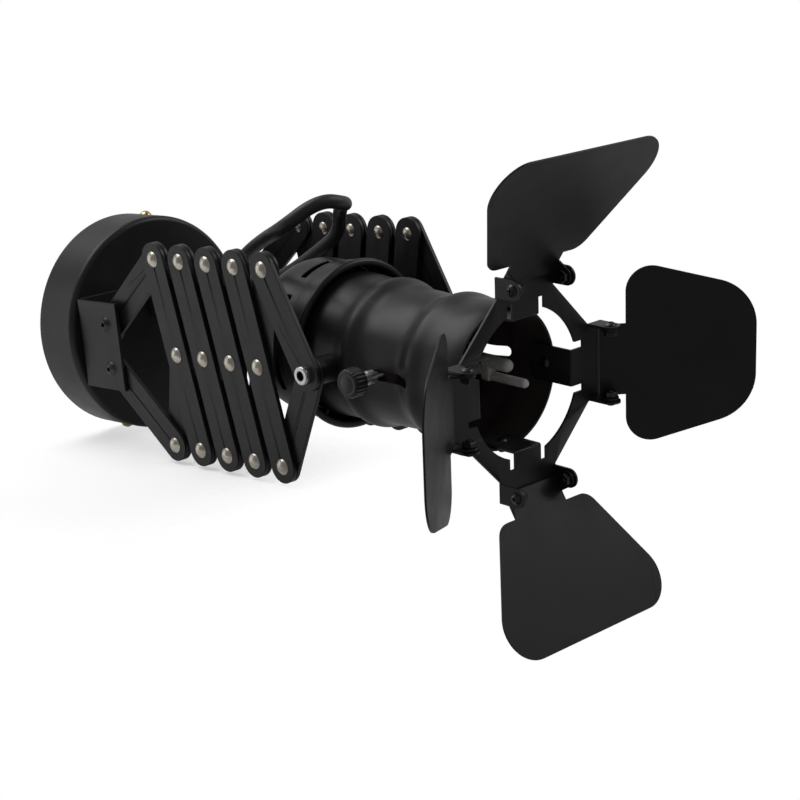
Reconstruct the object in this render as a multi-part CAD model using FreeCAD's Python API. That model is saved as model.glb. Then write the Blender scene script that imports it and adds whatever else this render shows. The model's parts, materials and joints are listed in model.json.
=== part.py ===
"""Wall spotlight on twin scissor arms with a four-leaf barn door, in millimetres.

Row frame: origin at the centre of the canopy's wall face, +X away from the wall along the arms,
+Z up. The near arm is on the -Y side. The head is built in its own frame, whose origin is on the
barrel's axis a little behind the tilt pivot and whose +X runs to the mouth, and is then tipped nose down.
"""
import FreeCAD, Part
import math
import os

V = FreeCAD.Vector
ORIGIN = V(0, 0, 0)
X_AXIS = V(1, 0, 0)
Y_AXIS = V(0, 1, 0)
Z_AXIS = V(0, 0, 1)
SIDES = {"near": -1, "far": 1}

# Canopy and wall plate
CANOPY_R = 60.0
CANOPY_DEPTH = 30.0
CANOPY_WALL = 1.5
CANOPY_EDGE_R = 3.0
WALL_PLATE_R = 52.0
WALL_PLATE_T = 2.0
FIXING_SPACING = 60.0
FIXING_SLOT_LENGTH = 12.0
FIXING_HOLE_R = 2.3
CABLE_ENTRY_R = 8.0
GLAND_Z = 12.0
GLAND_R = 6.0
GLAND_NOSE_LENGTH = 8.0
GLAND_COLLAR_T = 4.0
GLAND_COLLAR_R = 8.5
GLAND_NOSE_R = 7.0
GLAND_NUT_FLATS = 16.0
GLAND_NUT_T = 5.5
FIXING_Y = 30.0
TERMINAL_PITCH = (-9, 0, 9)
FIXING_R = 2.0
SIDE_SCREW_X = 8.0
SIDE_SCREW_TURN = 15.0
TAB_HALF = 7.0
TAB_T = 4.0
TAB_FOOT = 6.0
TAB_END_X = 14.0

# Bracket that carries the arms
BRACKET_T = 2.0
BRACKET_HALF_HEIGHT = 24.0
BRACKET_REACH = 36.0
BASE_PIVOT_X = 55.7
BASE_PIVOT_SPACING = 24.5
PIVOT_SCREW_R = 2.0

# Scissor arms
ARM_Y = 50.0
LINK_T = 2.2
LINK_WIDTH = 17.2
LAYER_GAP = 0.3
LINK_LENGTH = 102.0
BASE_LINK_LENGTH = 59.1
HEAD_LINK_LENGTH = 55.85
REST_PITCH = 21.7
SECTIONS = 4
RIVET_R = 1.8
RIVET_HEAD_R = 4.3
RIVET_HEAD_H = 1.9
RIVET_TAIL_R = 3.4
RIVET_TAIL_H = 1.3
RUNNING_GAP = 0.05
FLOATING_HOLE_R = 2.75
FACE_GAP = 0.15
HEAD_BOLT_R = 2.5

# Head
HEAD_DROOP = 4.5
AXIS_ABOVE_PIVOT = 1.2
PIVOT_FORWARD = 4.0
BARREL_WALL = 1.1
BARREL_REAR_X = -24.0
BARREL_REAR_R = 36.5
MOUTH_X = 86.5
MOUTH_R = 34.9
BARREL_BODY_R = 36.2
SLOT_REAR_X = 31.6
SLOT_FRONT_X = 57.4
SLOT_WIDTH = 5.2
CAP_R = 40.2
CAP_WALL = 1.1
CAP_RING_R = 43.5
CAP_BAND_R = 41.6
CAP_BACK_X = -62.0
CAP_PAD = {"start": -23.0, "end": -17.0, "half_width": 3.5, "inner_r": 36.8, "outer_r": 41.2}
CAP_SCREW_X = -20.0
CAP_SCREW_TURNS = (30, 150, 270)
VENTS = 8
VENT_START_X = -34.0
VENT_END_X = -30.0
VENT_ARC = 28.0
FIRST_VENT_TURN = 59.5
PINHOLE_X = -29.5
PINHOLE_R = 1.2
FOCUS_X = 34.6
CARRIER_R = 31.5
CARRIER_T = 1.5
HOLDER_R = 14.0
HOLDER_T = 12.0
HOLDER_SCREW_Z = 9.0
KNOB_R = 7.2
KNOB_RIBS = 24

# Barn door
FRAME_X = 99.5
FRAME_T = 1.2
FRAME_HALF = 44.6
FRAME_CUT = 18.6
FRAME_OPENING_R = 36.3
FRAME_EAR_HALF = 19.2
EAR_R = 4.8
TONGUE_HALF = 9.0
TONGUE_FACE = 32.5
TONGUE_END_X = 74.5
TONGUE_SCREW_X = 83.2
NOTCH_WIDTH = 3.6
NOTCH_R = 39.8
M3_R = 1.5
HINGE_X = 109.3
HINGE_RADIUS = 49.5
HINGE_TAB_END = 53.0
LEAF_T = 1.0
LEAF_OFFSET = 7.9
LEAF_NECK_HALF = 17.7
LEAF_NECK_START = -4.0
LEAF_EAR_R = 3.9
BLADE_SHIFT = -2.0
EAR_T = 1.2
LEAF_START = 8.5
LEAF_END = 72.0
WIDE_LEAF = {"inner_half": 30.8, "outer_half": 65.5, "inner_r": 9.3, "outer_r": 16.2}
SIDE_LEAF = {"inner_half": 47.4, "outer_half": 30.2, "inner_r": 12.4, "outer_r": 23.7}
LEAVES = {
    "top": (0, 32.5, WIDE_LEAF),
    "left": (90, 35.0, SIDE_LEAF),
    "bottom": (180, 31.5, WIDE_LEAF),
    "right": (270, 41.5, SIDE_LEAF),
}

# Flex from the canopy gland to the last bend before the head gland, as corner points of its route
FLEX_R = 3.6
FLEX_LEAD = 17.7
FLEX_ROUTE = [
    (44.0, 0.0, 12.0),
    (60.0, 0.0, 12.0),
    (84.0, -4.0, 20.0),
    (110.0, -10.0, 34.0),
    (134.5, -15.5, 49.0),
    (159.0, -22.5, 58.5),
    (182.5, -32.5, 66.5),
    (200.0, -21.5, 78.0),
    (197.5, 1.5, 75.5),
    (178.0, 13.0, 70.0),
    (168.0, 18.5, 55.0),
    (150.5, 20.5, 44.5),
    (127.5, 17.5, 31.5),
    (107.0, 17.0, 24.0),
    (82.5, 14.5, 28.0),
    (62.0, 13.5, 12.5),
    (62.5, 7.5, -12.0),
    (86.0, -0.5, -19.0),
    (103.5, -3.0, -1.5),
]

PIVOT_DROP = math.sqrt(LINK_LENGTH**2 - REST_PITCH**2) / 2
BASE_REACH = math.sqrt(BASE_LINK_LENGTH**2 - (PIVOT_DROP - BASE_PIVOT_SPACING / 2) ** 2)
HEAD_REACH = math.sqrt(HEAD_LINK_LENGTH**2 - PIVOT_DROP**2)
FIRST_RIVET_X = BASE_PIVOT_X + BASE_REACH
HEAD_PIVOT_X = FIRST_RIVET_X + SECTIONS * REST_PITCH + HEAD_REACH
OUTER_LAYER = (ARM_Y + LAYER_GAP / 2, ARM_Y + LAYER_GAP / 2 + LINK_T)
INNER_LAYER = (ARM_Y - LAYER_GAP / 2 - LINK_T, ARM_Y - LAYER_GAP / 2)
CHEEK_INNER = OUTER_LAYER[1] + LAYER_GAP
CHEEK_OUTER = CHEEK_INNER + BRACKET_T
BOSS_END = 46.0


def rod(radius, start, end):
    """Cylinder between two points."""
    return Part.makeCylinder(radius, (end - start).Length, start, end - start)


def block(low, high):
    """Box between two opposite corners."""
    size = [h - l for l, h in zip(low, high)]
    return Part.makeBox(*size, V(*low))


def mirrored(shape, side):
    """The shape as built on the far side, or its mirror image on the near side."""
    return shape if side > 0 else shape.mirror(ORIGIN, Y_AXIS)


def spun(profile):
    """Solid of revolution about X from (x, radius) points."""
    points = [V(x, 0, r) for x, r in profile]
    wire = Part.makePolygon(points + [points[0]])
    return Part.Face(wire).revolve(ORIGIN, X_AXIS, 360)


def dome(base, direction, radius, height):
    """Domed rivet or screw head standing on a face."""
    sphere_r = (radius**2 + height**2) / (2 * height)
    half_turn = math.asin(radius / sphere_r) / 2
    middle_x = height - sphere_r + sphere_r * math.cos(half_turn)
    foot, rim, top = ORIGIN, V(0, 0, radius), V(height, 0, 0)
    arc = Part.Arc(rim, V(middle_x, 0, sphere_r * math.sin(half_turn)), top).toShape()
    wire = Part.Wire([Part.makeLine(foot, rim), arc, Part.makeLine(top, foot)])
    head = Part.Face(wire).revolve(ORIGIN, X_AXIS, 360)
    head.Placement = FreeCAD.Placement(base, FreeCAD.Rotation(X_AXIS, direction))
    return head


def hexagon(across_flats, start, direction, length):
    """Hexagonal prism along a direction."""
    corner_r = across_flats / math.sqrt(3)
    side = V(0, 0, 1) if abs(direction.z) < 0.5 else V(1, 0, 0)
    up = direction.cross(side)
    turns = [math.radians(60 * k) for k in range(6)]
    corners = [start + side * (corner_r * math.cos(t)) + up * (corner_r * math.sin(t)) for t in turns]
    return Part.Face(Part.makePolygon(corners + [corners[0]])).extrude(direction * length)


def rounded_plate(corners, thickness):
    """Flat plate in X-Y from (x, y, corner radius) points, standing on z = 0."""
    edges = []
    count = len(corners)
    ends = []
    for i, (x, y, r) in enumerate(corners):
        here = V(x, y, 0)
        before = V(corners[i - 1][0], corners[i - 1][1], 0) - here
        after = V(corners[(i + 1) % count][0], corners[(i + 1) % count][1], 0) - here
        before.normalize()
        after.normalize()
        half = before.getAngle(after) / 2
        if r <= 0:
            ends.append((here, here, None))
            continue
        cut = r / math.tan(half)
        bisector = before + after
        bisector.normalize()
        middle = here + bisector * (r / math.sin(half) - r)
        ends.append((here + before * cut, here + after * cut, middle))
    for i, (start, end, middle) in enumerate(ends):
        if middle is not None:
            edges.append(Part.Arc(start, middle, end).toShape())
        following = ends[(i + 1) % count][0]
        edges.append(Part.LineSegment(end, following).toShape())
    return Part.Face(Part.Wire(edges)).extrude(V(0, 0, thickness))


def in_head(shape):
    """From the head's own frame to the row frame."""
    placed = shape.copy()
    placed.translate(V(-PIVOT_FORWARD, 0, AXIS_ABOVE_PIVOT))
    placed.rotate(ORIGIN, Y_AXIS, HEAD_DROOP)
    placed.translate(V(HEAD_PIVOT_X, 0, 0))
    return placed


# ---------------------------------------------------------------- canopy


def side_screw_frame(turn):
    """Outward direction of a canopy side screw: straight down at 0, leaning to the near side."""
    angle = math.radians(SIDE_SCREW_TURN + turn)
    return V(0, -math.sin(angle), -math.cos(angle))


def wall_plate():
    """Steel disc on the wall, with two slots for the wall screws and a cable entry."""
    plate = rod(WALL_PLATE_R, ORIGIN, V(WALL_PLATE_T, 0, 0))
    plate = plate.cut(rod(CABLE_ENTRY_R, V(-1, 0, 0), V(WALL_PLATE_T + 1, 0, 0)))
    half_run = FIXING_SLOT_LENGTH / 2 - FIXING_HOLE_R
    for side in SIDES.values():
        y = side * FIXING_SPACING / 2
        for end in (-half_run, half_run):
            plate = plate.cut(rod(FIXING_HOLE_R, V(-1, y + end, 0), V(WALL_PLATE_T + 1, y + end, 0)))
        low = (-1, y - half_run, -FIXING_HOLE_R)
        plate = plate.cut(block(low, (WALL_PLATE_T + 1, y + half_run, FIXING_HOLE_R)))
    return plate.removeSplitter()


def wall_plate_tabs():
    """Two tabs on the wall plate, tapped for the canopy's side screws."""
    tabs = []
    outer_r = CANOPY_R - CANOPY_WALL - 0.2
    inner_r = outer_r - TAB_T
    for turn in (0, 180):
        tab = block((WALL_PLATE_T, -TAB_HALF, -outer_r), (TAB_END_X, TAB_HALF, -inner_r))
        foot = block((WALL_PLATE_T, -TAB_HALF, -inner_r), (2 * WALL_PLATE_T, TAB_HALF, TAB_FOOT - inner_r))
        tab = tab.fuse(foot).common(rod(outer_r, ORIGIN, V(TAB_END_X, 0, 0)))
        tab.rotate(ORIGIN, X_AXIS, -(SIDE_SCREW_TURN + turn))
        out = side_screw_frame(turn)
        start = V(SIDE_SCREW_X, 0, 0) + out * (inner_r - 5)
        tabs.append(tab.cut(rod(FIXING_R, start, start + out * 12)).removeSplitter())
    return Part.makeCompound(tabs)


def canopy_cover():
    """Round spun dish with a small edge radius, open to the wall."""
    outer = rod(CANOPY_R, ORIGIN, V(CANOPY_DEPTH, 0, 0))
    rim = [e for e in outer.Edges if abs(e.CenterOfMass.x - CANOPY_DEPTH) < 0.01 and e.Closed]
    outer = outer.makeFillet(CANOPY_EDGE_R, rim)
    inner = rod(CANOPY_R - CANOPY_WALL, V(-1, 0, 0), V(CANOPY_DEPTH - CANOPY_WALL, 0, 0))
    rim = [e for e in inner.Edges if e.CenterOfMass.x > 10 and e.Closed]
    inner = inner.makeFillet(CANOPY_EDGE_R - CANOPY_WALL, rim)
    dish = outer.cut(inner)
    dish = dish.cut(rod(GLAND_R, V(20, 0, GLAND_Z), V(40, 0, GLAND_Z)))
    for y in (-FIXING_Y, FIXING_Y):
        dish = dish.cut(rod(FIXING_R, V(20, y, 0), V(40, y, 0)))
    for turn in (0, 180):
        out = side_screw_frame(turn)
        start = V(SIDE_SCREW_X, 0, 0)
        dish = dish.cut(rod(2.2, start + out * 50, start + out * 65))
    return dish


def canopy_side_screws():
    """Two small round-head brass screws in the canopy's side."""
    screws = []
    for turn in (0, 180):
        out = side_screw_frame(turn)
        seat = V(SIDE_SCREW_X, 0, 0) + out * CANOPY_R
        screws.append(rod(2.0, seat - out * 9, seat).fuse(dome(seat, out, 3.4, 2.2)))
    return Part.makeCompound(screws)


def terminal_block():
    """Three-way connector block on the wall plate."""
    body = block((WALL_PLATE_T, -14, 18), (WALL_PLATE_T + 14, 14, 34))
    for y in TERMINAL_PITCH:
        body = body.cut(rod(1.8, V(WALL_PLATE_T + 7, y, 17), V(WALL_PLATE_T + 7, y, 35)))
        for z in (22, 30):
            body = body.cut(rod(1.9, V(WALL_PLATE_T + 7, y, z), V(WALL_PLATE_T + 15, y, z)))
    return body


def terminal_screws():
    """Six clamp screws of the connector block."""
    screws = []
    for y in TERMINAL_PITCH:
        for z in (22, 30):
            top = WALL_PLATE_T + 13
            screw = rod(1.9, V(top - 6, y, z), V(top, y, z))
            slot = block((top - 1, y - 0.3, z - 3), (top + 1, y + 0.3, z + 3))
            screws.append(screw.cut(slot))
    return Part.makeCompound(screws)


def gland(neck_start, collar_start):
    """Cable bush along X about the origin: neck, collar and tapered nose, bored for the flex."""
    collar_end = collar_start + GLAND_COLLAR_T
    neck = rod(GLAND_R, V(neck_start, 0, 0), V(collar_start, 0, 0))
    collar = rod(GLAND_COLLAR_R, V(collar_start, 0, 0), V(collar_end, 0, 0))
    nose = Part.makeCone(GLAND_NOSE_R, FLEX_R + 1.2, GLAND_NOSE_LENGTH, V(collar_end, 0, 0), X_AXIS)
    bore = rod(FLEX_R, V(neck_start - 1, 0, 0), V(collar_end + GLAND_NOSE_LENGTH + 1, 0, 0))
    return neck.fuse([collar, nose]).cut(bore).removeSplitter()


def canopy_gland():
    """Bush through the bracket and the canopy's face that the flex comes out of."""
    bush = gland(CANOPY_DEPTH - 8, CANOPY_DEPTH + BRACKET_T)
    nut_start = V(CANOPY_DEPTH - CANOPY_WALL - GLAND_NUT_T, 0, 0)
    nut = hexagon(GLAND_NUT_FLATS, nut_start, X_AXIS, GLAND_NUT_T)
    bush = bush.fuse(nut.cut(rod(GLAND_R, V(0, 0, 0), V(CANOPY_DEPTH, 0, 0)))).removeSplitter()
    bush.translate(V(0, 0, GLAND_Z))
    return bush


def arm_bracket():
    """U bracket: a web on the canopy's face and a cheek outside each arm."""
    x0 = CANOPY_DEPTH
    h = BRACKET_HALF_HEIGHT
    outer = block((x0, -CHEEK_OUTER, -h), (x0 + BRACKET_REACH, CHEEK_OUTER, h))
    bend = [e for e in outer.Edges if abs(e.CenterOfMass.x - x0) < 0.01 and abs(e.CenterOfMass.y) > 50]
    outer = outer.makeFillet(3.0, [e for e in bend if e.Length > h])
    gap = block((x0 + BRACKET_T, -CHEEK_INNER, -h - 1), (x0 + BRACKET_REACH + 1, CHEEK_INNER, h + 1))
    bend = [e for e in gap.Edges if abs(e.CenterOfMass.x - x0 - BRACKET_T) < 0.01 and abs(e.CenterOfMass.y) > 50]
    gap = gap.makeFillet(1.0, [e for e in bend if e.Length > h])
    bracket = outer.cut(gap)
    bracket = bracket.cut(rod(GLAND_R, V(x0 - 1, 0, GLAND_Z), V(x0 + BRACKET_T + 1, 0, GLAND_Z)))
    for y in (-FIXING_Y, FIXING_Y):
        bracket = bracket.cut(rod(FIXING_R, V(x0 - 1, y, 0), V(x0 + BRACKET_T + 1, y, 0)))
    for side in SIDES.values():
        z = BASE_PIVOT_SPACING / 2
        boss = rod(5.0, V(BASE_PIVOT_X, INNER_LAYER[1] + FACE_GAP, z), V(BASE_PIVOT_X, CHEEK_INNER, z))
        bracket = bracket.fuse(mirrored(boss, side))
        for z in (-BASE_PIVOT_SPACING / 2, BASE_PIVOT_SPACING / 2):
            hole = rod(PIVOT_SCREW_R, V(BASE_PIVOT_X, side * 45, z), V(BASE_PIVOT_X, side * 60, z))
            bracket = bracket.cut(hole)
    return bracket.removeSplitter()


def bracket_fixings():
    """Two screws with nuts that hold the bracket on the canopy's face."""
    screws = []
    face = CANOPY_DEPTH + BRACKET_T
    for y in (-FIXING_Y, FIXING_Y):
        shank = rod(FIXING_R, V(face - 8, y, 0), V(face, y, 0))
        head = dome(V(face, y, 0), X_AXIS, 3.8, 2.2)
        nut = hexagon(7, V(CANOPY_DEPTH - CANOPY_WALL - 3, y, 0), X_AXIS, 3)
        screws.append(shank.fuse([head, nut]).removeSplitter())
    return Part.makeCompound(screws)


def base_pivots():
    """Places of the four base pivots: (side, height, inner face of the link that turns there)."""
    half = BASE_PIVOT_SPACING / 2
    faces = ((half, INNER_LAYER[0]), (-half, OUTER_LAYER[0]))
    return [(side, z, face) for side in SIDES.values() for z, face in faces]


def bracket_pivot_screws():
    """Four button-head screws through the cheeks, on which the base links turn."""
    screws = []
    for side, z, face in base_pivots():
        shank = rod(PIVOT_SCREW_R, V(BASE_PIVOT_X, face - 3.6, z), V(BASE_PIVOT_X, CHEEK_OUTER, z))
        head = dome(V(BASE_PIVOT_X, CHEEK_OUTER, z), Y_AXIS, 4.0, 2.3)
        socket = hexagon(2.5, V(BASE_PIVOT_X, CHEEK_OUTER + 1.0, z), Y_AXIS, 3)
        screws.append(mirrored(shank.fuse(head).cut(socket), side))
    return Part.makeCompound(screws)


def bracket_pivot_nuts():
    """Lock nuts behind the base links."""
    nuts = []
    for side, z, face in base_pivots():
        start = V(BASE_PIVOT_X, face - FACE_GAP - 3.0, z)
        nut = hexagon(7, start, Y_AXIS, 3.0).cut(rod(PIVOT_SCREW_R, start - Y_AXIS, start + Y_AXIS * 5))
        nuts.append(mirrored(nut, side))
    return Part.makeCompound(nuts)


# ---------------------------------------------------------------- scissor arms


def top_rivet(i):
    """Centre of the i-th top rivet, i from 1, in the plane of an arm."""
    return (FIRST_RIVET_X + (i - 1) * REST_PITCH, PIVOT_DROP)


def bottom_rivet(i):
    """Centre of the i-th bottom rivet."""
    return (FIRST_RIVET_X + (i - 1) * REST_PITCH, -PIVOT_DROP)


def middle_rivet(i):
    """Centre of the i-th crossing."""
    return (FIRST_RIVET_X + (i - 0.5) * REST_PITCH, 0.0)


def link(side, layer, start, end, holes):
    """Flat bar with round ends between two pivots, with holes as (centre, radius)."""
    low, high = layer
    run = V(end[0] - start[0], 0, end[1] - start[1])
    length = run.Length
    half = LINK_WIDTH / 2
    bar = block((0, low, -half), (length, high, half))
    for x in (0, length):
        bar = bar.fuse(rod(half, V(x, low, 0), V(x, high, 0)))
    bar = bar.removeSplitter()
    turn = -math.degrees(math.atan2(run.z, run.x))
    bar.rotate(ORIGIN, Y_AXIS, turn)
    bar.translate(V(start[0], 0, start[1]))
    for (x, z), radius in holes:
        bar = bar.cut(rod(radius, V(x, low - 1, z), V(x, high + 1, z)))
    return mirrored(bar, side)


def outer_link(i, side):
    """Full link from the i-th top rivet down to the next bottom rivet, in the outer layer."""
    top, bottom = top_rivet(i), bottom_rivet(i + 1)
    holes = [(top, RIVET_R), (bottom, RIVET_R), (middle_rivet(i), RIVET_R + RUNNING_GAP)]
    return link(side, OUTER_LAYER, top, bottom, holes)


def inner_link(i, side):
    """Full link from the i-th bottom rivet up to the next top rivet, in the inner layer."""
    bottom, top = bottom_rivet(i), top_rivet(i + 1)
    holes = [(top, FLOATING_HOLE_R), (bottom, FLOATING_HOLE_R), (middle_rivet(i), RIVET_R + RUNNING_GAP)]
    return link(side, INNER_LAYER, bottom, top, holes)


def base_links_upper(side):
    """Half link from the bracket's upper screw to the first top rivet, in the inner layer."""
    start = (BASE_PIVOT_X, BASE_PIVOT_SPACING / 2)
    holes = [(start, PIVOT_SCREW_R + RUNNING_GAP), (top_rivet(1), FLOATING_HOLE_R)]
    return link(side, INNER_LAYER, start, top_rivet(1), holes)


def base_links_lower(side):
    """Half link from the bracket's lower screw to the first bottom rivet, in the outer layer."""
    start = (BASE_PIVOT_X, -BASE_PIVOT_SPACING / 2)
    holes = [(start, PIVOT_SCREW_R + RUNNING_GAP), (bottom_rivet(1), RIVET_R)]
    return link(side, OUTER_LAYER, start, bottom_rivet(1), holes)


def head_links_upper(side):
    """Half link from the last top rivet down to the head's bolt, in the outer layer."""
    end = (HEAD_PIVOT_X, 0)
    holes = [(top_rivet(SECTIONS + 1), RIVET_R), (end, HEAD_BOLT_R + RUNNING_GAP)]
    return link(side, OUTER_LAYER, top_rivet(SECTIONS + 1), end, holes)


def head_links_lower(side):
    """Half link from the last bottom rivet up to the head's bolt, in the inner layer."""
    end = (HEAD_PIVOT_X, 0)
    holes = [(bottom_rivet(SECTIONS + 1), FLOATING_HOLE_R), (end, HEAD_BOLT_R + RUNNING_GAP)]
    return link(side, INNER_LAYER, bottom_rivet(SECTIONS + 1), end, holes)


def rivet(side, centre, head_gap):
    """Domed rivet through both layers. The tail's flat face stands clear of the inner layer."""
    x, z = centre
    head_face = OUTER_LAYER[1] + head_gap
    tail_face = INNER_LAYER[0] - FACE_GAP
    shank = rod(RIVET_R, V(x, tail_face - 0.5, z), V(x, head_face + 0.5, z))
    head = dome(V(x, head_face, z), Y_AXIS, RIVET_HEAD_R, RIVET_HEAD_H)
    tail = dome(V(x, tail_face, z), Y_AXIS * -1, RIVET_TAIL_R, RIVET_TAIL_H)
    return mirrored(shank.fuse([head, tail]).removeSplitter(), side)


def rivets(centres, head_gap=0.0):
    """The same rivets on both arms."""
    return Part.makeCompound([rivet(side, c, head_gap) for side in SIDES.values() for c in centres])


def pivot_bolts():
    """Two socket-head bolts on which the head links and the head itself turn."""
    bolts = []
    for side in SIDES.values():
        seat = OUTER_LAYER[1] + FACE_GAP
        shank = rod(HEAD_BOLT_R, V(HEAD_PIVOT_X, 38.5, 0), V(HEAD_PIVOT_X, seat, 0))
        head = rod(4.7, V(HEAD_PIVOT_X, seat, 0), V(HEAD_PIVOT_X, seat + 3.4, 0))
        rim = [e for e in head.Edges if e.Closed and e.CenterOfMass.y > seat + 3]
        head = head.makeFillet(0.8, rim)
        socket = hexagon(4.0, V(HEAD_PIVOT_X, seat + 1.2, 0), Y_AXIS, 4)
        bolts.append(mirrored(shank.fuse(head).cut(socket), side))
    return Part.makeCompound(bolts)


def pivot_washers():
    """Washers on the bolts between the arms and the head's bosses."""
    washers = []
    for side in SIDES.values():
        low = V(HEAD_PIVOT_X, BOSS_END + FACE_GAP, 0)
        high = V(HEAD_PIVOT_X, INNER_LAYER[0] - FACE_GAP, 0)
        washers.append(mirrored(rod(6.2, low, high).cut(rod(HEAD_BOLT_R, low, high)), side))
    return Part.makeCompound(washers)


# ---------------------------------------------------------------- head


def barrel_outline(inset):
    """Pressed barrel profile as (x, radius) spline points, moved in by a wall."""
    profile = [
        (BARREL_REAR_X, BARREL_REAR_R),
        (-8.0, BARREL_REAR_R),
        (8.0, 36.6),
        (14.5, 37.6),
        (19.5, 35.6),
        (27.0, 34.4),
        (40.0, 33.9),
        (50.0, 34.3),
        (56.5, 36.9),
        (64.0, BARREL_BODY_R),
        (76.0, BARREL_BODY_R),
        (82.5, 35.9),
        (MOUTH_X, MOUTH_R),
    ]
    return [V(x, 0, r - inset) for x, r in profile]


def barrel_core():
    """Solid with the barrel's outer surface."""
    outline = Part.BSplineCurve()
    outline.interpolate(barrel_outline(0))
    front, back = V(MOUTH_X, 0, 0), V(BARREL_REAR_X, 0, 0)
    rest = Part.makePolygon([outline.EndPoint, front, back, outline.StartPoint])
    return Part.Face(Part.Wire([outline.toShape()] + rest.Edges)).revolve(ORIGIN, X_AXIS, 360)


def slot_cutter(side):
    """Round-ended slot through one side of the barrel."""
    r = SLOT_WIDTH / 2
    start, end = SLOT_REAR_X + r, SLOT_FRONT_X - r
    cutter = block((start, 28, -r), (end, 42, r))
    for x in (start, end):
        cutter = cutter.fuse(rod(r, V(x, 28, 0), V(x, 42, 0)))
    return mirrored(cutter, side)


def barrel():
    """Thin pressed barrel with two beads, a waist, a turned-in mouth and a focus slot on each side."""
    outer, inner = Part.BSplineCurve(), Part.BSplineCurve()
    outer.interpolate(barrel_outline(0))
    inner.interpolate(barrel_outline(BARREL_WALL))
    front = Part.LineSegment(outer.EndPoint, inner.EndPoint)
    back = Part.LineSegment(inner.StartPoint, outer.StartPoint)
    wire = Part.Wire([outer.toShape(), front.toShape(), inner.toShape(), back.toShape()])
    tube = Part.Face(wire).revolve(ORIGIN, X_AXIS, 360)
    for side in SIDES.values():
        tube = tube.cut(slot_cutter(side))
        bolt = rod(HEAD_BOLT_R + 0.5, V(PIVOT_FORWARD, 30, -AXIS_ABOVE_PIVOT), V(PIVOT_FORWARD, 42, -AXIS_ABOVE_PIVOT))
        tube = tube.cut(mirrored(bolt, side))
    for x, radius, turns in ((TONGUE_SCREW_X, M3_R, (0, 90, 180, 270)), (CAP_SCREW_X, 1.4, CAP_SCREW_TURNS)):
        for turn in turns:
            hole = rod(radius, V(x, 0, 30), V(x, 0, 40))
            hole.rotate(ORIGIN, X_AXIS, turn)
            tube = tube.cut(hole)
    return tube


def rear_cap():
    """Vented cap over the barrel's rear: rolled ring, band, vent row, domed back and gland hole."""
    outer = [(-14.5, CAP_BAND_R), (-24.0, CAP_BAND_R), (-25.0, CAP_R), (-41.0, CAP_R), (-49.0, 38.6), (-55.5, 34.4)]
    outer += [(-60.0, 27.5), (CAP_BACK_X, 19.0), (CAP_BACK_X, GLAND_R)]
    inner = [(CAP_BACK_X + CAP_WALL, GLAND_R), (CAP_BACK_X + CAP_WALL, 18.6), (-59.0, 26.9), (-54.7, 33.4)]
    inner += [(-48.5, 37.5), (-40.8, CAP_R - CAP_WALL), (-25.8, CAP_R - CAP_WALL)]
    inner += [(-24.6, CAP_BAND_R - CAP_WALL), (-14.5, CAP_BAND_R - CAP_WALL)]
    cap = spun(outer + inner)
    ring = Part.makeTorus(CAP_RING_R - 2.0, 2.0, V(-14.0, 0, 0), X_AXIS)
    cap = cap.fuse(ring)
    for k in range(VENTS):
        turn = 360 / VENTS * k
        cap = cap.cut(vent_cutter(FIRST_VENT_TURN + turn))
        hole = rod(PINHOLE_R, V(PINHOLE_X, -30, 0), V(PINHOLE_X, -45, 0))
        hole.rotate(ORIGIN, X_AXIS, -(82 + turn))
        cap = cap.cut(hole)
    for turn in CAP_SCREW_TURNS:
        cap = cap.fuse(cap_pad(turn))
    for screw in cap_screws().Solids:
        cap = cap.cut(screw)
    return cap.removeSplitter()


def cap_pad(turn):
    """Pad inside the cap's band that takes a screw and centres the cap on the barrel."""
    start, end = CAP_PAD["start"], CAP_PAD["end"]
    half = CAP_PAD["half_width"]
    pad = block((start, -half, CAP_PAD["inner_r"] - 1), (end, half, CAP_PAD["outer_r"]))
    pad.rotate(ORIGIN, X_AXIS, turn)
    pad = pad.common(rod(CAP_BAND_R - CAP_WALL / 2, V(start, 0, 0), V(end, 0, 0)))
    return pad.cut(rod(CAP_PAD["inner_r"], V(start, 0, 0), V(end, 0, 0)))


def cap_screws():
    """Three countersunk screws through the cap's band and its pads into the barrel."""
    screws = []
    top = CAP_BAND_R - 0.1
    for turn in CAP_SCREW_TURNS:
        screw = Part.makeCone(1.3, 2.4, 1.1, V(CAP_SCREW_X, 0, top - 1.1), Z_AXIS)
        screw = screw.fuse(rod(1.3, V(CAP_SCREW_X, 0, BARREL_REAR_R - 2), V(CAP_SCREW_X, 0, top - 1.0)))
        slot = block((CAP_SCREW_X - 3, -0.35, top - 0.5), (CAP_SCREW_X + 3, 0.35, top + 1))
        screw = screw.cut(slot)
        screw.rotate(ORIGIN, X_AXIS, turn)
        screws.append(screw.removeSplitter())
    return Part.makeCompound(screws)


def vent_cutter(centre_turn):
    """Sector of a ring that cuts one long vent slot round the cap."""
    low, high = CAP_R - 4, CAP_R + 4
    corners = [(VENT_END_X, low), (VENT_START_X, low), (VENT_START_X, high), (VENT_END_X, high)]
    face = Part.Face(Part.makePolygon([V(x, 0, r) for x, r in corners + corners[:1]]))
    face.rotate(ORIGIN, X_AXIS, 90 - centre_turn - VENT_ARC / 2)
    return face.revolve(ORIGIN, X_AXIS, VENT_ARC)


def pivot_bosses():
    """Two turned bosses on the barrel's sides, bored to turn on the bolts."""
    bosses = []
    for side in SIDES.values():
        x, z = PIVOT_FORWARD, -AXIS_ABOVE_PIVOT
        boss = rod(6.8, V(x, 34, z), V(x, BOSS_END, z)).cut(barrel_core())
        boss = boss.cut(rod(HEAD_BOLT_R + RUNNING_GAP, V(x, 30, z), V(x, BOSS_END + 1, z)))
        bosses.append(mirrored(boss, side))
    return Part.makeCompound(bosses)


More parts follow.
